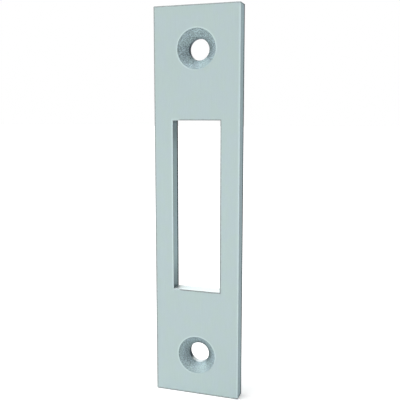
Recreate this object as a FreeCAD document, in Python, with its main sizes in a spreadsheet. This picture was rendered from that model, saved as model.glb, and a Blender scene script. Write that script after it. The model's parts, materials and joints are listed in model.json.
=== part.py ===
import FreeCAD, Part
import os

import Sketcher

# Door strike plate: one flat piece of zinc-plated sheet steel that is let into the edge of a
# door frame. The bolt of the lock passes through the slot, and two countersunk wood screws
# hold the plate.
#
# Frame: Z runs up the length of the plate and X across its width. The back face, which lies
# in the recess of the frame, is the plane Y = 0. The front face, with the countersinks, looks
# towards -Y. The origin is the middle of the back face, halfway between the two screws.

# Driving dimensions: name, value in millimetres (the angle in degrees), and what it measures.
DRIVING_SIZES = [
    ("plate_length", 80, "height of the plate"),
    ("plate_width", 18, "width of the plate"),
    ("plate_thickness", 3, "thickness of the sheet"),
    ("plate_corner_radius", 0.15, "corners of the outline, as the blanking die leaves them"),
    ("slot_length", 35, "height of the slot for the bolt"),
    ("slot_width", 10, "width of the slot for the bolt"),
    ("slot_corner_radius", 0.1, "corners of the slot, as the punch leaves them"),
    ("hole_end_distance", 8.5, "centre of a screw hole to the nearest end of the plate"),
    ("bore_diameter", 4.3, "clearance hole for a 4 mm wood screw"),
    ("countersink_diameter", 8, "countersink at the front face, as wide as the screw's head"),
    ("countersink_angle", 90, "full angle of the countersink"),
    ("front_edge_radius", 0.1, "edges of the front face, which the punch rolled over"),
    ("back_edge_chamfer", 0.05, "edges of the back face, which are deburred"),
]

# Two lengths that differ by less than this are the same, in millimetres.
NEAR = 0.001


def make_sheet(doc):
    """Puts each driving dimension into a cell that has its name as alias."""
    sheet = doc.addObject("Spreadsheet::Sheet", "Sizes")
    for row, (name, value, meaning) in enumerate(DRIVING_SIZES, start=1):
        sheet.set(f"A{row}", name)
        sheet.set(f"B{row}", str(value))
        sheet.set(f"C{row}", meaning)
        sheet.setAlias(f"B{row}", name)
    doc.recompute()
    return sheet


def new_sketch(body, name):
    """Makes an empty sketch on the plane of the back face."""
    planes = [plane for plane in body.Origin.OriginFeatures if plane.Role == "XZ_Plane"]
    sketch = body.newObject("Sketcher::SketchObject", name)
    sketch.AttachmentSupport = (planes[0], [""])
    sketch.MapMode = "FlatFace"
    return sketch


def new_front_sketch(body, name):
    """Makes an empty sketch on the plane of the front face."""
    sketch = new_sketch(body, name)
    sketch.setExpression("AttachmentOffset.Base.z", "Sizes.plate_thickness")
    return sketch


def bind(sketch, name, constraint, formula):
    """Adds a constraint under a name, with a value that follows a formula of the sheet."""
    index = sketch.addConstraint(constraint)
    sketch.renameConstraint(index, name)
    sketch.setExpression(f"Constraints.{name}", formula)


def draw_centred_rectangle(sketch, sheet, width_name, length_name):
    """Draws a rectangle about the origin, with its two sizes bound to the sheet."""
    width = sheet.get(width_name)
    length = sheet.get(length_name)
    corners = [
        FreeCAD.Vector(-width / 2, -length / 2, 0),
        FreeCAD.Vector(width / 2, -length / 2, 0),
        FreeCAD.Vector(width / 2, length / 2, 0),
        FreeCAD.Vector(-width / 2, length / 2, 0),
    ]
    for start, end in zip(corners, corners[1:] + corners[:1]):
        sketch.addGeometry(Part.LineSegment(start, end), False)
    for side in range(4):
        direction = "Vertical" if side % 2 else "Horizontal"
        sketch.addConstraint(Sketcher.Constraint(direction, side))
        sketch.addConstraint(Sketcher.Constraint("Coincident", side, 2, (side + 1) % 4, 1))
    sketch.addConstraint(Sketcher.Constraint("Symmetric", 0, 1, 1, 2, -1, 1))
    across = Sketcher.Constraint("DistanceX", 0, 1, 0, 2, width)
    bind(sketch, "width", across, f"Sizes.{width_name}")
    along = Sketcher.Constraint("DistanceY", 1, 1, 1, 2, length)
    bind(sketch, "length", along, f"Sizes.{length_name}")


def draw_screw_bores(sketch, sheet):
    """Draws a circle for each screw, on the centre line and at its distance from the end."""
    bore = sheet.get("bore_diameter")
    height = sheet.get("plate_length") / 2 - sheet.get("hole_end_distance")
    towards_front = FreeCAD.Vector(0, 0, 1)
    for centre in (FreeCAD.Vector(0, height, 0), FreeCAD.Vector(0, -height, 0)):
        sketch.addGeometry(Part.Circle(centre, towards_front, bore / 2), False)
    sketch.addConstraint(Sketcher.Constraint("PointOnObject", 0, 3, -2))
    sketch.addConstraint(Sketcher.Constraint("Symmetric", 0, 3, 1, 3, -1, 1))
    sketch.addConstraint(Sketcher.Constraint("Equal", 0, 1))
    bind(sketch, "bore", Sketcher.Constraint("Diameter", 0, bore), "Sizes.bore_diameter")
    above_middle = Sketcher.Constraint("DistanceY", -1, 1, 0, 3, height)
    bind(sketch, "height", above_middle, "Sizes.plate_length / 2 - Sizes.hole_end_distance")


def name_edges(feature, wanted):
    """Gives the names of the edges of a feature for which wanted(edge) is true."""
    edges = enumerate(feature.Shape.Edges, start=1)
    return [f"Edge{number}" for number, edge in edges if wanted(edge)]


def is_upright_corner(edge, width, length):
    """Says whether an edge runs from front to back at a corner of a centred rectangle."""
    box = edge.BoundBox
    off_corner = max(abs(abs(box.Center.x) - width / 2), abs(abs(box.Center.z) - length / 2))
    return max(box.XLength, box.ZLength, off_corner) < NEAR


def is_open_at_depth(edge, depth):
    """Says whether an edge lies at one Y level and isn't the full circle of a screw hole."""
    box = edge.BoundBox
    off_level = max(abs(box.YMin - depth), abs(box.YMax - depth))
    return off_level < NEAR and not edge.isClosed()


def require_cut(before, after):
    """Stops the build if a cut took no material away."""
    if after.Shape.Volume > before.Shape.Volume - NEAR:
        raise RuntimeError(f"{after.Label} cut nothing")


def make_strike_plate(doc, sheet):
    """Blanks the plate, punches the slot, sinks the screw holes and breaks the edges."""
    body = doc.addObject("PartDesign::Body", "StrikePlate")
    body.Label = "strike_plate"
    width = sheet.get("plate_width")
    length = sheet.get("plate_length")
    front_level = -sheet.get("plate_thickness")
    back_level = 0

    # The blank, with the corner radius of its die.
    outline = new_sketch(body, "Outline")
    draw_centred_rectangle(outline, sheet, "plate_width", "plate_length")
    blank = body.newObject("PartDesign::Pad", "Blank")
    blank.Profile = outline
    blank.setExpression("Length", "Sizes.plate_thickness")
    doc.recompute()
    rounded_blank = body.newObject("PartDesign::Fillet", "BlankCorners")
    corners = name_edges(blank, lambda edge: is_upright_corner(edge, width, length))
    rounded_blank.Base = (blank, corners)
    rounded_blank.setExpression("Radius", "Sizes.plate_corner_radius")
    doc.recompute()

    # The slot, which is punched through, with the corner radius of its punch.
    slot_width = sheet.get("slot_width")
    slot_length = sheet.get("slot_length")
    slot_outline = new_front_sketch(body, "SlotOutline")
    draw_centred_rectangle(slot_outline, sheet, "slot_width", "slot_length")
    slot = body.newObject("PartDesign::Pocket", "BoltSlot")
    slot.Profile = slot_outline
    slot.Type = "ThroughAll"
    doc.recompute()
    require_cut(rounded_blank, slot)
    rounded_slot = body.newObject("PartDesign::Fillet", "SlotCorners")
    corners = name_edges(slot, lambda edge: is_upright_corner(edge, slot_width, slot_length))
    rounded_slot.Base = (slot, corners)
    rounded_slot.setExpression("Radius", "Sizes.slot_corner_radius")
    doc.recompute()

    # The screw holes: a cone for the screw's head, and a bore from there to the back face.
    screw_bores = new_front_sketch(body, "ScrewBores")
    draw_screw_bores(screw_bores, sheet)
    doc.recompute()
    screw_holes = body.newObject("PartDesign::Hole", "ScrewHoles")
    screw_holes.Profile = screw_bores
    screw_holes.ThreadType = "None"
    screw_holes.DepthType = "ThroughAll"
    screw_holes.HoleCutType = "Countersink"
    screw_holes.setExpression("Diameter", "Sizes.bore_diameter")
    screw_holes.setExpression("HoleCutDiameter", "Sizes.countersink_diameter")
    screw_holes.setExpression("HoleCutCountersinkAngle", "Sizes.countersink_angle")
    doc.recompute()
    require_cut(rounded_slot, screw_holes)

    # The edges of the outline and the slot: rolled over in front, deburred behind.
    rolled = body.newObject("PartDesign::Fillet", "RolledFrontEdges")
    front_edges = name_edges(screw_holes, lambda edge: is_open_at_depth(edge, front_level))
    rolled.Base = (screw_holes, front_edges)
    rolled.setExpression("Radius", "Sizes.front_edge_radius")
    doc.recompute()
    deburred = body.newObject("PartDesign::Chamfer", "DeburredBackEdges")
    back_edges = name_edges(rolled, lambda edge: is_open_at_depth(edge, back_level))
    deburred.Base = (rolled, back_edges)
    deburred.setExpression("Size", "Sizes.back_edge_chamfer")
    doc.recompute()
    return body


def require_sound(doc, body):
    """Stops the build if anything in the document failed or the body has no valid shape."""
    for item in doc.Objects:
        if "Invalid" in item.State or "Error" in item.State:
            raise RuntimeError(f"{item.Label} failed: {item.State}")
    if body.Shape.isNull() or not body.Shape.isValid():
        raise RuntimeError(f"{body.Label} has no valid shape")


doc = FreeCAD.newDocument("DoorStrikePlate")
strike_plate = make_strike_plate(doc, make_sheet(doc))
require_sound(doc, strike_plate)

os.makedirs("parts", exist_ok=True)
strike_plate.Shape.exportStep(os.path.join("parts", f"{strike_plate.Label}.step"))
print(f"{strike_plate.Label}: {strike_plate.Shape.Volume:.1f} mm3")
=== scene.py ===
import json
import math

import bpy
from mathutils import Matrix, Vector


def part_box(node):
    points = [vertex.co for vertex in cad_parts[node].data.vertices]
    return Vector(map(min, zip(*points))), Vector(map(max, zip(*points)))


# A door strike plate of satin zinc-plated steel, seen a little from the right and from above.
# Lengths are in metres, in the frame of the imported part: Z up the plate, front towards -Y.
# A name that ends in SPAN says where a change starts and where it is complete, and one that ends
# in LEVELS gives the values there. A SHADE multiplies the colour of the plating that it lies on.

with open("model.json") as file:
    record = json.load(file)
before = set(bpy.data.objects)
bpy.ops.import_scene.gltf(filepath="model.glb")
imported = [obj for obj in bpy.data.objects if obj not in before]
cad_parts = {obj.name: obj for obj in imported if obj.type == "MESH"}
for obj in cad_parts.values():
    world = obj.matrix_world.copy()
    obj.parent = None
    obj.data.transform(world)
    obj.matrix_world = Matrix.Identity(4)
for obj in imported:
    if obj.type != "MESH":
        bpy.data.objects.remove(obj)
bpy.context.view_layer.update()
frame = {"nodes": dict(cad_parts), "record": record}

MM = 0.001
PLATE = "strike_plate"

# The plate's own places, from the frame.
plate_low, plate_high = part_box(PLATE)
HALF_WIDTH = plate_high.x
HALF_LENGTH = plate_high.z
FRONT = plate_low.y
BACK = plate_high.y
mounts = {mount["name"]: mount for mount in frame["record"]["mounts"]}
screws = mounts["screw_holes"]["dims"]
SCREW_HEIGHT = screws["spacing_y_mm"] * MM / 2
BORE_RADIUS = screws["hole_r_mm"] * MM

# The cuts whose sizes the frame doesn't name.
COUNTERSINK_RADIUS = 4.0 * MM
LAND_LENGTH = 1.15 * MM
SLOT_HALF_WIDTH = 5.0 * MM
SLOT_HALF_LENGTH = 17.5 * MM
ROLLED_EDGE = 0.1 * MM

# How near two places count as the same.
NEAR = 0.01 * MM

# The middle of the plate, where the shades of its lower half pass into those of the upper half.
MIDDLE_SPAN = (-10 * MM, 10 * MM)

# The camera of the photograph: a pinhole whose image is 400 pixels wide.
IMAGE_WIDTH = 400
FOCAL_PIXELS = 614.08
SENSOR_WIDTH = 36.0
CAMERA_PLACE = Vector((0.03979, -0.11994, 0.01856))
CAMERA_YAW = math.radians(18.448)
CAMERA_PITCH = math.radians(7.873)
NEAREST_SEEN = 10 * MM

# The studio: the world's light on dull surfaces, and the floor, whose glow makes it look white.
WORLD_LIGHT = 0.05
FLOOR_SIZE = 6.0
FLOOR_COLOUR = (0.86, 0.86, 0.86, 1)
FLOOR_GLOW = 0.45
WHITE = (1, 1, 1, 1)


class Nodes:
    """Builds a node tree from short calls. A socket or a plain number can go in anywhere."""

    def __init__(self, tree):
        self.tree = tree
        tree.nodes.clear()

    def add(self, kind, inputs=None, **settings):
        """Adds a node, sets its properties and feeds its inputs by name or number."""
        node = self.tree.nodes.new(kind)
        for name, value in settings.items():
            setattr(node, name, value)
        for name, value in (inputs or {}).items():
            self.feed(node.inputs[name], value)
        return node

    def feed(self, socket, value):
        """Links a socket to an input, or sets the input to a plain value."""
        if isinstance(value, bpy.types.NodeSocket):
            self.tree.links.new(value, socket)
        else:
            socket.default_value = value

    def math(self, operation, *values):
        """A math node's result."""
        inputs = dict(enumerate(values))
        return self.add("ShaderNodeMath", inputs, operation=operation).outputs[0]

    def product(self, first, *others):
        """Several values multiplied."""
        for other in others:
            first = self.math("MULTIPLY", first, other)
        return first

    def total(self, first, *others):
        """Several values added."""
        for other in others:
            first = self.math("ADD", first, other)
        return first

    def minus(self, first, second):
        """The first value less the second."""
        return self.math("SUBTRACT", first, second)

    def flip(self, value):
        """1 minus a value."""
        return self.minus(1.0, value)

    def absolute(self, value):
        """A value without its sign."""
        return self.math("ABSOLUTE", value)

    def above(self, value, limit):
        """1 where a value is greater than a limit, else 0."""
        return self.math("GREATER_THAN", value, limit)

    def below(self, value, limit):
        """1 where a value is less than a limit, else 0."""
        return self.math("LESS_THAN", value, limit)

    def ramp(self, value, span, levels=(0.0, 1.0)):
        """Maps a span of a value smoothly to two levels, and stays level outside the span."""
        inputs = {"Value": value, "From Min": span[0], "From Max": span[1]}
        inputs.update({"To Min": levels[0], "To Max": levels[1]})
        node = self.add("ShaderNodeMapRange", inputs, interpolation_type="SMOOTHSTEP")
        return node.outputs["Result"]

    def fade(self, value, span):
        """1 up to the start of a span and 0 past its end."""
        return self.ramp(value, span, (1.0, 0.0))

    def between(self, amount, at_none, at_full):
        """Goes smoothly from one value to another as an amount goes from 0 to 1."""
        return self.ramp(amount, (0.0, 1.0), (at_none, at_full))

    def mix(self, factor, first, second, blend="MIX"):
        """Mixes two colours."""
        node = self.add("ShaderNodeMix", data_type="RGBA", blend_type=blend)
        self.feed(node.inputs[0], factor)
        self.feed(node.inputs[6], first)
        self.feed(node.inputs[7], second)
        return node.outputs[2]

    def tint(self, colour, shade):
        """A colour multiplied by another colour."""
        return self.mix(1.0, colour, shade, "MULTIPLY")

    def dim(self, colour, share):
        """A colour multiplied by a number."""
        return self.tint(colour, self.join(share, share, share))

    def join(self, x, y, z):
        """Three numbers as one vector."""
        return self.add("ShaderNodeCombineXYZ", {0: x, 1: y, 2: z}).outputs[0]

    def split(self, vector):
        """A vector as three numbers."""
        return self.add("ShaderNodeSeparateXYZ", {0: vector}).outputs

    def vector(self, operation, *values):
        """The vector that a vector math node gives."""
        inputs = dict(enumerate(values))
        return self.add("ShaderNodeVectorMath", inputs, operation=operation).outputs["Vector"]

    def measure(self, operation, *values):
        """The number that a vector math node gives, such as a length or a dot product."""
        inputs = dict(enumerate(values))
        return self.add("ShaderNodeVectorMath", inputs, operation=operation).outputs["Value"]

    def stretch(self, point, factors):
        """A vector with each of its numbers multiplied by its own factor."""
        return self.vector("MULTIPLY", point, factors)

    def noise(self, point, detail=2.0, roughness=0.5):
        """Noise from 0 to 1 whose grains are one unit wide."""
        inputs = {"Vector": point, "Scale": 1.0, "Detail": detail, "Roughness": roughness}
        return self.add("ShaderNodeTexNoise", inputs).outputs["Fac"]


# The walls: where they start behind the rolled edge, and how much one faces up or down if it looks
# along the plate.
WALL_START_SPAN = (FRONT + 0.06 * MM, FRONT + ROLLED_EDGE)
LOOKS_ALONG_SPAN = (0.4, 0.6)
# The part of the slot's ends that counts as their left corner.
SLOT_CORNER_SPAN = (0.6 * MM - SLOT_HALF_WIDTH, 1.5 * MM - SLOT_HALF_WIDTH)
# How far from the plate's ends and from the slot's ends counts as near them.
NEAR_END_SPAN = (0.15 * MM, 0.45 * MM)
NEAR_SLOT_END_SPAN = (0.3 * MM, 0.7 * MM)

# The painted highlights along edges: how far they reach in from an edge, and how far from the plate's
# ends they start.
HIGHLIGHT_SPAN = (0.15 * MM, 0.45 * MM)
HIGHLIGHT_START_SPAN = (0.1 * MM, 0.5 * MM)
# Left of the slot they leave out the half of the rolled edge next to it.
SLOT_LEFT_GAP = 0.05 * MM
# Above and below the slot they are fainter, and lie at its left corners only.
CORNER_LEVELS = (0.7, 0.0)
CORNER_LEFT = -SLOT_HALF_WIDTH - 0.3 * MM
CORNER_SPAN = (0.9 * MM - SLOT_HALF_WIDTH, 1.9 * MM - SLOT_HALF_WIDTH)


class PlateZones:
    """Where on the plate a point lies: zones from 0, outside, to 1, inside, and distances."""

    def __init__(self, n):
        place = n.add("ShaderNodeTexCoord")
        self.point = place.outputs["Object"]
        self.x, self.y, self.z = n.split(self.point)
        self.facing_up = n.split(place.outputs["Normal"])[2]
        self.across = n.absolute(self.x)
        self.along = n.absolute(self.z)
        self.front = n.below(self.y, FRONT + ROLLED_EDGE)
        self.find_holes(n)
        self.find_walls(n)
        self.find_edges(n)
        self.find_highlighted_edges(n)

    def find_holes(self, n):
        """The cones and bores, by the distance from the axis of the nearer screw."""
        past_screw = n.minus(self.along, SCREW_HEIGHT)
        above_screw = n.product(past_screw, n.math("SIGN", self.z))
        from_axis = n.join(self.x, 0.0, above_screw)
        self.radius = n.measure("LENGTH", from_axis)
        self.outwards = n.vector("NORMALIZE", from_axis)
        self.in_hole = n.below(self.radius, COUNTERSINK_RADIUS + NEAR)
        in_bore = n.below(self.radius, BORE_RADIUS + NEAR)
        before_land = n.below(self.y, BACK - LAND_LENGTH - NEAR)
        self.cone = n.product(self.in_hole, before_land, n.above(self.y, FRONT + NEAR))
        self.bore = n.product(in_bore, n.flip(before_land))

    def find_walls(self, n):
        """The walls of the outline and the slot, and those of them that look along the plate."""
        past_roll = n.ramp(self.y, WALL_START_SPAN)
        before_back = n.below(self.y, BACK - NEAR)
        self.wall = n.product(past_roll, before_back, n.flip(self.in_hole))
        in_slot = n.product(
            n.below(self.across, SLOT_HALF_WIDTH + NEAR),
            n.below(self.along, SLOT_HALF_LENGTH + NEAR),
        )
        self.looks_along = n.ramp(n.absolute(self.facing_up), LOOKS_ALONG_SPAN)
        self.slot_side = n.product(self.wall, in_slot, n.flip(self.looks_along))
        self.slot_end = n.product(self.wall, in_slot, self.looks_along)
        self.slot_end_corner = n.product(self.slot_end, n.fade(self.x, SLOT_CORNER_SPAN))

    def find_edges(self, n):
        """How far a point of a face is from the edges of the outline and the slot."""
        to_side = n.minus(HALF_WIDTH, self.across)
        self.to_end = n.minus(HALF_LENGTH, self.along)
        past_slot_side = n.minus(self.across, SLOT_HALF_WIDTH)
        self.past_slot_end = n.minus(self.along, SLOT_HALF_LENGTH)
        to_slot = n.math("MAXIMUM", past_slot_side, self.past_slot_end)
        to_outline = n.math("MINIMUM", to_side, self.to_end)
        self.to_edge = n.math("MINIMUM", to_slot, to_outline)
        self.near_end = n.fade(self.to_end, NEAR_END_SPAN)
        self.near_slot_end = n.fade(n.absolute(self.past_slot_end), NEAR_SLOT_END_SPAN)

    def find_highlighted_edges(self, n):
        """The front edges that look towards +X, which get a painted highlight, and the corners next
        to them.
        """
        to_right = n.minus(HALF_WIDTH, self.x)
        right = n.product(
            n.fade(to_right, HIGHLIGHT_SPAN),
            n.above(to_right, NEAR),
            n.ramp(self.to_end, HIGHLIGHT_START_SPAN),
        )
        to_slot_left = n.minus(-SLOT_HALF_WIDTH, self.x)
        slot_left = n.product(
            n.fade(to_slot_left, HIGHLIGHT_SPAN),
            n.above(to_slot_left, SLOT_LEFT_GAP),
            n.below(self.along, SLOT_HALF_LENGTH),
        )
        slot_corners = n.product(
            n.ramp(self.past_slot_end, HIGHLIGHT_SPAN, CORNER_LEVELS),
            n.above(self.past_slot_end, 0.0),
            n.above(self.x, CORNER_LEFT),
            n.fade(self.x, CORNER_SPAN),
        )
        # Where a highlight is painted along the edges.
        highlighted = n.math("MAXIMUM", n.math("MAXIMUM", right, slot_corners), slot_left)
        self.painted_highlight_edge = n.product(highlighted, self.front)


# How many grains of each noise there are to the metre, across, through and up the plate.
CLOUDS_PER_METRE = (520, 520, 380)
GRAINS_PER_METRE = (5200, 5200, 5200)
ROLLED_LINES_PER_METRE = (7000, 7000, 260)
RAGS_PER_METRE = (2600, 2600, 2600)
PITS_PER_METRE = (4800, 4800, 4800)
STREAKS_PER_METRE = (4200, 900, 4200)
# The marks that the countersink leaves: their number round a cone, and the rings to the metre.
MARKS_ROUND_CONE = (6, 6, 6)
RINGS_PER_METRE = 6000.0


class Textures:
    """The noises of the surface. Each is a socket from 0 to 1."""

    def __init__(self, n, zones):
        point = zones.point
        self.clouds = n.noise(n.stretch(point, CLOUDS_PER_METRE))
        self.grain = n.noise(n.stretch(point, GRAINS_PER_METRE), detail=3.0, roughness=0.6)
        self.rolled = n.noise(n.stretch(point, ROLLED_LINES_PER_METRE))
        self.ragged = n.noise(n.stretch(point, RAGS_PER_METRE), detail=3.0, roughness=0.6)
        self.pits = n.noise(n.stretch(point, PITS_PER_METRE), detail=1.0)
        self.streaks = n.noise(n.stretch(point, STREAKS_PER_METRE), detail=3.0, roughness=0.6)
        turn = n.stretch(zones.outwards, MARKS_ROUND_CONE)
        ring = n.product(zones.radius, RINGS_PER_METRE)
        which_hole = n.math("SIGN", zones.z)
        mark = n.vector("ADD", turn, n.join(0.0, ring, which_hole))
        self.tool_marks = n.noise(mark, detail=3.0, roughness=0.65)


# The spans of a noise that are used: narrower ones give more contrast.
WIDE_NOISE_SPAN = (0.2, 0.8)
NOISE_SPAN = (0.25, 0.75)
NARROW_NOISE_SPAN = (0.3, 0.7)

# The plating's colours, as linear light: plain zinc, and the green and blue of its faint clouds.
ZINC = (0.492, 0.600, 0.600, 1)
ZINC_GREEN = (0.490, 0.609, 0.578, 1)
ZINC_BLUE = (0.490, 0.592, 0.628, 1)
CLOUD_SPAN = (0.38, 0.62)
CLOUD_SHARE = 0.35


def plating_colour(n, textures):
    """Zinc with faint green and blue clouds, which all the surfaces share."""
    clouds = n.mix(n.ramp(textures.clouds, CLOUD_SPAN), ZINC_GREEN, ZINC_BLUE)
    return n.mix(CLOUD_SHARE, ZINC, clouds)


# The faces: how much the grain and the rolled lines show, and the painted shade that makes them
# darker towards the foot of the plate.
GRAIN_LEVELS = (0.98, 1.02)
ROLLED_LEVELS = (0.985, 1.015)
FACE_SHINE_SPAN = (-HALF_LENGTH, 10 * MM)
FACE_SHINE_LEVELS = (0.945, 1.0)


def face_colour(n, zones, textures, plating):
    """The flat faces, with the zinc's grain, the lines of the rolled sheet, and painted shade and
    highlights.
    """
    grain = n.ramp(textures.grain, NOISE_SPAN, GRAIN_LEVELS)
    rolled = n.ramp(textures.rolled, NOISE_SPAN, ROLLED_LEVELS)
    shine = n.ramp(zones.z, FACE_SHINE_SPAN, FACE_SHINE_LEVELS)
    colour = n.dim(plating, n.product(grain, rolled, shine))
    colour = add_painted_edge_shade(n, zones, textures, colour)
    colour = add_painted_edge_highlights(n, zones, textures, colour)
    return add_painted_rim_highlights(n, zones, colour)


# The painted shade along the edges: its shade, its ragged reach, and how much further it reaches low
# on the plate.
SHADE_PAINTED_EDGE_SHADE = (0.48, 0.41, 0.41, 1)
EDGE_SHADE_REACH_LEVELS = (0.26 * MM, 0.40 * MM)
EDGE_SHADE_HEIGHT_SPAN = (-20 * MM, 15 * MM)
EDGE_SHADE_HEIGHT_LEVELS = (1.3, 1.0)


def add_painted_edge_shade(n, zones, textures, colour):
    """Painted shade along the edges of the faces, left out where a highlight is painted."""
    reach = n.product(
        n.ramp(textures.ragged, NARROW_NOISE_SPAN, EDGE_SHADE_REACH_LEVELS),
        n.ramp(zones.z, EDGE_SHADE_HEIGHT_SPAN, EDGE_SHADE_HEIGHT_LEVELS),
    )
    nearness = n.flip(n.math("DIVIDE", zones.to_edge, reach))
    edge_shade = n.product(n.between(nearness, 0.0, 1.0), n.flip(zones.painted_highlight_edge))
    return n.mix(edge_shade, colour, n.tint(colour, SHADE_PAINTED_EDGE_SHADE))


# The painted highlights along edges: their shade, their ragged strength, and how they weaken towards
# the right.
SHADE_PAINTED_EDGE_HIGHLIGHT = (1.30, 1.30, 1.32, 1)
HIGHLIGHT_NOISE_SPAN = (0.25, 0.6)
HIGHLIGHT_NOISE_LEVELS = (0.6, 1.0)
HIGHLIGHT_ACROSS_SPAN = (-4 * MM, 6 * MM)
HIGHLIGHT_ACROSS_LEVELS = (1.0, 0.7)


def add_painted_edge_highlights(n, zones, textures, colour):
    """Painted highlights along edges of the faces."""
    ragged = n.ramp(textures.ragged, HIGHLIGHT_NOISE_SPAN, HIGHLIGHT_NOISE_LEVELS)
    across = n.ramp(zones.x, HIGHLIGHT_ACROSS_SPAN, HIGHLIGHT_ACROSS_LEVELS)
    bright = n.product(zones.painted_highlight_edge, ragged, across)
    return n.mix(bright, colour, n.tint(colour, SHADE_PAINTED_EDGE_HIGHLIGHT))


# The painted highlight on the rims: its shade and width, and the low right side, where it ends.
SHADE_PAINTED_RIM_HIGHLIGHT = (1.20, 1.20, 1.20, 1)
RIM_WIDTH_SPAN = (0.1 * MM, 0.35 * MM)
RIM_GAP_DIRECTION = (0.5, 0.0, -0.87)
RIM_GAP_SPAN = (0.45, 0.95)


def add_painted_rim_highlights(n, zones, colour):
    """A painted highlight on the face round each countersink, open towards the low right."""
    off_cone = n.minus(zones.radius, COUNTERSINK_RADIUS)
    gap_side = n.measure("DOT_PRODUCT", zones.outwards, RIM_GAP_DIRECTION)
    rim = n.product(
        n.fade(off_cone, RIM_WIDTH_SPAN),
        n.above(off_cone, NEAR),
        zones.front,
        n.fade(gap_side, RIM_GAP_SPAN),
    )
    return n.mix(rim, colour, n.tint(colour, SHADE_PAINTED_RIM_HIGHLIGHT))


# The cones. Directions are outwards from the screw's axis: +X is right and +Z is up.
SHADE_CONE = (0.82, 0.85, 0.89, 1)
RIGHT = (1.0, 0.0, 0.0)
UP = (0.0, 0.0, 1.0)
UPPER_RIGHT = (0.5, 0.0, 0.87)
LOW_SIDE = (0.26, 0.0, -0.966)
LOW_SIDE_SPAN = (0.78, 0.94)
CONE_EDGE_SPAN = (COUNTERSINK_RADIUS - 0.3 * MM, COUNTERSINK_RADIUS - 0.1 * MM)
CONE_EDGE_LEVELS = (1.0, 0.92)


def cone_colour(n, zones, textures, plating):
    """The cones, rough from the countersink, a little darker at the outer edge, with painted shade
    round the bore and painted light on the low side.
    """
    low_side = n.ramp(n.measure("DOT_PRODUCT", zones.outwards, LOW_SIDE), LOW_SIDE_SPAN)
    to_right = n.measure("DOT_PRODUCT", zones.outwards, RIGHT)
    shine = n.product(
        cone_speckle(n, zones, textures, low_side),
        cone_shade_at_bore(n, zones, to_right, low_side),
        n.ramp(zones.radius, CONE_EDGE_SPAN, CONE_EDGE_LEVELS),
        cone_shine_by_side(n, zones, to_right, low_side),
    )
    return n.dim(n.tint(plating, SHADE_CONE), shine)


# The speckle: how strong the pits are, also on the low side and in the lower and the upper hole,
# and how strong the tool marks are.
PIT_STRENGTH = 0.40
PIT_STRENGTH_LOW_SIDE = 0.22
PIT_STRENGTH_BY_HOLE = (0.75, 1.0)
TOOL_MARK_LEVELS = (0.95, 1.05)


def cone_speckle(n, zones, textures, low_side):
    """Light and dark pits, and the faint rings of the tool."""
    strength = n.product(
        n.between(low_side, PIT_STRENGTH, PIT_STRENGTH_LOW_SIDE),
        n.ramp(zones.z, MIDDLE_SPAN, PIT_STRENGTH_BY_HOLE),
    )
    pits = n.ramp(textures.pits, NARROW_NOISE_SPAN, (-1.0, 1.0))
    speckle = n.total(1.0, n.product(strength, pits))
    return n.product(speckle, n.ramp(textures.tool_marks, NOISE_SPAN, TOOL_MARK_LEVELS))


# The dark ring round the bore: its depth from left to right, its width, and how much deeper and
# wider it is on the upper side of the lower hole.
BORE_RING_ACROSS_SPAN = (-0.7, 0.2)
BORE_RING_DEPTHS = (0.05, 0.34)
BORE_RING_START = 0.05 * MM
BORE_RING_END = 0.45 * MM
BORE_RING_END_DEEPER = 0.85 * MM
BORE_RING_DEEPER = 1.6
UPPER_SIDE_SPAN = (-0.6, 0.0)


def cone_shade_at_bore(n, zones, to_right, low_side):
    """The share of light that is left near the bore. The low side keeps all of it."""
    upper_side = n.ramp(n.measure("DOT_PRODUCT", zones.outwards, UP), UPPER_SIDE_SPAN)
    deeper = n.product(upper_side, n.fade(zones.z, MIDDLE_SPAN))
    ring_end = n.between(deeper, BORE_RING_END, BORE_RING_END_DEEPER)
    from_bore = n.minus(zones.radius, BORE_RADIUS)
    nearness = n.fade(from_bore, (BORE_RING_START, ring_end))
    depth = n.product(
        n.ramp(to_right, BORE_RING_ACROSS_SPAN, BORE_RING_DEPTHS),
        n.between(deeper, 1.0, BORE_RING_DEEPER),
    )
    return n.flip(n.product(nearness, depth, n.flip(low_side)))


# What a side of a cone gains in shine, at the bore and at the outer edge.
LOW_GAIN_AT_BORE_SPAN = (-0.1, 0.55)
LOW_GAIN_AT_BORE = (0.08, 0.38)
LOW_GAIN_OUTSIDE_SPAN = (-0.25, 0.5)
LOW_GAIN_OUTSIDE = (-0.19, 0.02)
SIDES_GAIN_AT_BORE = -0.12
SIDES_GAIN_OUTSIDE = 0.04
UPPER_RIGHT_SPAN = (0.6, 0.95)
UPPER_RIGHT_GAIN = 0.10


def cone_shine_by_side(n, zones, to_right, low_side):
    """How the low side, the left and right, and the upper right of the upper hole catch light."""
    outside = n.ramp(zones.radius, (BORE_RADIUS, COUNTERSINK_RADIUS))
    low_gain = n.between(
        outside,
        n.ramp(to_right, LOW_GAIN_AT_BORE_SPAN, LOW_GAIN_AT_BORE),
        n.ramp(to_right, LOW_GAIN_OUTSIDE_SPAN, LOW_GAIN_OUTSIDE),
    )
    sides_gain = n.between(outside, SIDES_GAIN_AT_BORE, SIDES_GAIN_OUTSIDE)
    upper_right = n.product(
        n.ramp(n.measure("DOT_PRODUCT", zones.outwards, UPPER_RIGHT), UPPER_RIGHT_SPAN),
        n.ramp(zones.z, MIDDLE_SPAN),
    )
    return n.total(
        1.0,
        n.product(low_side, low_gain),
        n.product(to_right, to_right, sides_gain),
        n.product(upper_right, UPPER_RIGHT_GAIN),
    )


# What looks along the plate catches the most light: the ends of the plate and the slot, and the
# bores where they face up.
SHADE_END = (1.42, 1.26, 1.26, 1)

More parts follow.
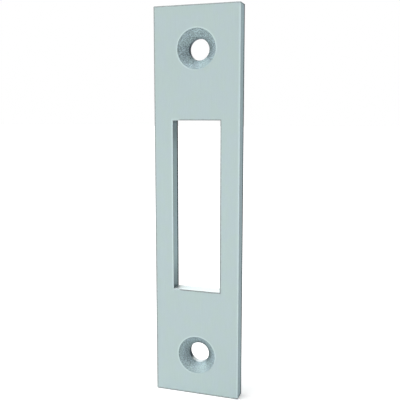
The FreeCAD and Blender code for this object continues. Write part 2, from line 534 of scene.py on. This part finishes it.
# The bores: painted shade, a little less at the top, and painted light where they face up, over more
# of the lower one.
SHADE_BORE = (0.07, 0.08, 0.10, 1)
SHADE_BORE_TOP = (0.26, 0.28, 0.32, 1)
LOOKS_DOWN_SPAN = (-0.9, -0.2)
LOOKS_UP_SPAN = (0.72, 1.02)
LOWER_BORE_SPAN = (-20 * MM, 20 * MM)
LOWER_BORE_LEVELS = (0.20, 0.0)


def bore_colour(n, zones, plating):
    """The bores behind the cones."""
    looks_down = n.fade(zones.facing_up, LOOKS_DOWN_SPAN)
    more_below = n.ramp(zones.z, LOWER_BORE_SPAN, LOWER_BORE_LEVELS)
    looks_up = n.ramp(n.total(zones.facing_up, more_below), LOOKS_UP_SPAN)
    shade = n.mix(looks_down, SHADE_BORE, SHADE_BORE_TOP)
    shade = n.mix(looks_up, shade, SHADE_END)
    return n.tint(plating, shade)


# The side walls: the shade of their sheared band, darker as cut steel and as painted shade, the shade
# of their torn band, and how strong the streaks are.
SHADE_SIDE = (0.70, 0.76, 0.80, 1)
SHADE_TORN = (0.18, 0.19, 0.21, 1)
STREAK_LEVELS = (0.94, 1.06)
# Where the torn band starts, as the streaks move it, and how soft that border is.
TORN_START_LEVELS = (BACK - 0.8 * MM, BACK - 0.6 * MM)
TORN_BORDER_SPAN = (-0.1 * MM, 0.1 * MM)


def torn_band(n, zones, textures):
    """The ragged band at the back of the walls that look across the plate, where the sheet tore."""
    start = n.ramp(textures.streaks, WIDE_NOISE_SPAN, TORN_START_LEVELS)
    behind = n.ramp(n.minus(zones.y, start), TORN_BORDER_SPAN)
    return n.product(behind, zones.wall, n.flip(zones.looks_along))


def wall_colour(n, zones, textures, plating, torn):
    """The walls that the punch left: a smooth sheared band in front, a torn dark one behind."""
    # The sheared band has painted shade where it faces sideways and painted light where it looks
    # along the plate.
    sheared_with_painted_light = n.mix(zones.looks_along, SHADE_SIDE, SHADE_END)
    colour = n.tint(plating, n.mix(torn, sheared_with_painted_light, SHADE_TORN))
    shine = n.product(
        wall_shine_in_slot(n, zones),
        wall_shine_by_height(n, zones),
        wall_shade_near_ends(n, zones),
        n.ramp(textures.streaks, NOISE_SPAN, STREAK_LEVELS),
    )
    return n.dim(colour, shine)


# In the slot, the sides darken towards its ends, and the ends darken towards the left, but for a
# bright corner.
SLOT_SIDE_END_SPAN = (SLOT_HALF_LENGTH - 8.5 * MM, SLOT_HALF_LENGTH)
SLOT_SIDE_END_SHINE = 0.60
SLOT_END_LEFT_SPAN = (0.4 * MM - SLOT_HALF_WIDTH, 2.4 * MM - SLOT_HALF_WIDTH)
SLOT_END_LEFT_SHINE = 0.78
SLOT_CORNER_GAIN = 0.55


def wall_shine_in_slot(n, zones):
    """How light falls on the slot's sides and ends. Elsewhere it is 1."""
    near_end = n.product(zones.slot_side, n.ramp(zones.along, SLOT_SIDE_END_SPAN))
    near_left = n.product(zones.slot_end, n.fade(zones.x, SLOT_END_LEFT_SPAN))
    ends_shine = n.total(
        n.between(near_left, 1.0, SLOT_END_LEFT_SHINE),
        n.product(zones.slot_end_corner, SLOT_CORNER_GAIN),
    )
    return n.product(n.between(near_end, 1.0, SLOT_SIDE_END_SHINE), ends_shine)


# How the walls' shine changes up the plate: the slot's sides, then the outer walls as a main
# grade with a gain at the foot and one on the upper half.
SLOT_SIDE_SPAN = (-SLOT_HALF_LENGTH, SLOT_HALF_LENGTH)
SLOT_SIDE_LEVELS = (1.00, 0.79)
OUTER_SPAN = (-HALF_LENGTH, 0.0)
OUTER_LEVELS = (0.97, 0.87)
FOOT_SPAN = (-HALF_LENGTH, 10 * MM - HALF_LENGTH)
FOOT_LEVELS = (0.16, 0.0)
UPPER_HALF_SPAN = (0.0, HALF_LENGTH)
UPPER_HALF_LEVELS = (0.0, 0.28)


def wall_shine_by_height(n, zones):
    """How light falls on the walls from the foot of the plate to its top."""
    in_slot = n.ramp(zones.z, SLOT_SIDE_SPAN, SLOT_SIDE_LEVELS)
    outer = n.total(
        n.ramp(zones.z, FOOT_SPAN, FOOT_LEVELS),
        n.ramp(zones.z, OUTER_SPAN, OUTER_LEVELS),
        n.ramp(zones.z, UPPER_HALF_SPAN, UPPER_HALF_LEVELS),
    )
    return n.total(outer, n.product(zones.slot_side, n.minus(in_slot, outer)))


# How much darker a side wall is next to the plate's ends, and next to the slot's lower and upper end.
DEPTH_NEAR_END = 0.62
DEPTH_NEAR_SLOT_END_LEVELS = (0.03, 0.36)


def wall_shade_near_ends(n, zones):
    """The share of light that is left on the side walls where they meet an end."""
    slot_depth = n.ramp(zones.z, MIDDLE_SPAN, DEPTH_NEAR_SLOT_END_LEVELS)
    depth = n.math(
        "MAXIMUM",
        n.product(zones.near_end, DEPTH_NEAR_END),
        n.product(zones.near_slot_end, zones.slot_side, slot_depth),
    )
    return n.flip(n.product(depth, n.flip(zones.looks_along)))


# Roughness of the faces, and what the cones, walls and torn band add to it.
ROUGH_LEVELS = (0.40, 0.50)
ROUGH_CONE = 0.15
ROUGH_WALL = -0.05
ROUGH_TORN = 0.4

# Heights of the fine relief.
GRAIN_HEIGHT = 0.0015 * MM
ROLLED_HEIGHT = 0.001 * MM
TOOL_MARK_HEIGHT = 0.008 * MM
PIT_HEIGHT = 0.008 * MM
STREAK_HEIGHT = 0.012 * MM

# How metallic each surface is, and the faint gloss of what isn't metal.
METALLIC_FACE = 0.65
METALLIC_CUT = 0.45
METALLIC_CONE = 0.40
GLOSS = 0.1
GLOSS_TINT = (0.55, 0.62, 0.64, 1)


def relief(n, zones, textures):
    """The fine relief as a bump: grain all over, marks and pits on the cones, streaked walls."""
    height = n.total(
        n.product(textures.grain, GRAIN_HEIGHT),
        n.product(textures.rolled, ROLLED_HEIGHT),
        n.product(textures.tool_marks, zones.cone, TOOL_MARK_HEIGHT),
        n.product(textures.pits, zones.cone, PIT_HEIGHT),
        n.product(textures.streaks, zones.wall, STREAK_HEIGHT),
    )
    return n.add("ShaderNodeBump", {"Height": height, "Distance": 1.0, "Strength": 1.0}).outputs[0]


def make_plated_steel():
    """Satin zinc plating over rolled sheet, with machined cones and sheared walls."""
    material = bpy.data.materials.new("zinc_plated_steel")
    material.use_nodes = True
    n = Nodes(material.node_tree)
    zones = PlateZones(n)
    textures = Textures(n, zones)
    torn = torn_band(n, zones, textures)

    plating = plating_colour(n, textures)
    colour = face_colour(n, zones, textures, plating)
    colour = n.mix(zones.cone, colour, cone_colour(n, zones, textures, plating))
    colour = n.mix(zones.bore, colour, bore_colour(n, zones, plating))
    colour = n.mix(zones.wall, colour, wall_colour(n, zones, textures, plating, torn))

    rough = n.total(
        n.ramp(textures.grain, WIDE_NOISE_SPAN, ROUGH_LEVELS),
        n.product(zones.cone, ROUGH_CONE),
        n.product(zones.wall, ROUGH_WALL),
        n.product(torn, ROUGH_TORN),
    )
    metallic = n.total(
        METALLIC_FACE,
        n.product(n.math("MAXIMUM", zones.wall, zones.bore), METALLIC_CUT - METALLIC_FACE),
        n.product(zones.cone, METALLIC_CONE - METALLIC_FACE),
        n.product(torn, -METALLIC_CUT),
        n.product(zones.slot_end_corner, -METALLIC_CUT),
    )
    inputs = {
        "Base Color": colour,
        "Roughness": rough,
        "Metallic": metallic,
        "Normal": relief(n, zones, textures),
        "Specular IOR Level": GLOSS,
        "Specular Tint": GLOSS_TINT,
    }
    shader = n.add("ShaderNodeBsdfPrincipled", inputs)
    n.add("ShaderNodeOutputMaterial", {"Surface": shader.outputs[0]})
    return material


def seen_directly(n):
    """1 for rays from the camera, also by way of a reflection or through glass, else 0."""
    path = n.add("ShaderNodeLightPath")
    direct = n.math("MAXIMUM", path.outputs["Is Camera Ray"], path.outputs["Is Glossy Ray"])
    return n.math("MAXIMUM", direct, path.outputs["Is Transmission Ray"])


def make_world():
    """White to look at, and a dimmer even light on the plate."""
    world = bpy.data.worlds.new("studio")
    world.use_nodes = True
    n = Nodes(world.node_tree)
    strength = n.between(seen_directly(n), WORLD_LIGHT, 1.0)
    white = n.add("ShaderNodeBackground", {"Color": WHITE, "Strength": strength})
    n.add("ShaderNodeOutputWorld", {"Surface": white.outputs[0]})
    bpy.context.scene.world = world


def make_floor():
    """A pale floor that the plate's lower end meets. It looks white and takes the shadow."""
    bpy.ops.mesh.primitive_plane_add(size=FLOOR_SIZE, location=(0, 0, plate_low.z))
    floor = bpy.context.object
    floor.name = "floor"
    material = bpy.data.materials.new("pale_floor")
    material.use_nodes = True
    n = Nodes(material.node_tree)
    paint = n.add("ShaderNodeBsdfDiffuse", {"Color": FLOOR_COLOUR})
    glow = n.product(seen_directly(n), FLOOR_GLOW)
    white = n.add("ShaderNodeEmission", {"Color": WHITE, "Strength": glow})
    both = n.add("ShaderNodeAddShader", {0: paint.outputs[0], 1: white.outputs[0]})
    n.add("ShaderNodeOutputMaterial", {"Surface": both.outputs[0]})
    floor.data.materials.append(material)


def add_softbox(name, towards, strength, width):
    """A soft distant light: the direction towards it, and how wide it looks in degrees."""
    data = bpy.data.lights.new(name, "SUN")
    data.energy = strength
    data.angle = math.radians(width)
    light = bpy.data.objects.new(name, data)
    light.rotation_euler = Vector(towards).to_track_quat("Z", "Y").to_euler()
    bpy.context.scene.collection.objects.link(light)


def make_camera():
    """The photograph's view."""
    data = bpy.data.cameras.new("camera")
    data.sensor_width = SENSOR_WIDTH
    data.lens = FOCAL_PIXELS / IMAGE_WIDTH * SENSOR_WIDTH
    data.clip_start = NEAREST_SEEN
    camera = bpy.data.objects.new("camera", data)
    camera.location = CAMERA_PLACE
    forward = Vector((
        -math.sin(CAMERA_YAW) * math.cos(CAMERA_PITCH),
        math.cos(CAMERA_YAW) * math.cos(CAMERA_PITCH),
        -math.sin(CAMERA_PITCH),
    ))
    camera.rotation_euler = forward.to_track_quat("-Z", "Y").to_euler()
    bpy.context.scene.collection.objects.link(camera)
    bpy.context.scene.camera = camera


plate = frame["nodes"][PLATE]
plate.data.materials.clear()
plate.data.materials.append(make_plated_steel())
make_world()
make_floor()
add_softbox("overhead", towards=(-0.35, -0.2, 0.92), strength=2.92, width=50)
add_softbox("left_fill", towards=(-0.92, -0.35, 0.2), strength=0.2, width=60)
add_softbox("back_light", towards=(-0.25, 0.8, 0.5), strength=0.8, width=40)
make_camera()
bpy.context.scene.view_settings.view_transform = "Standard"
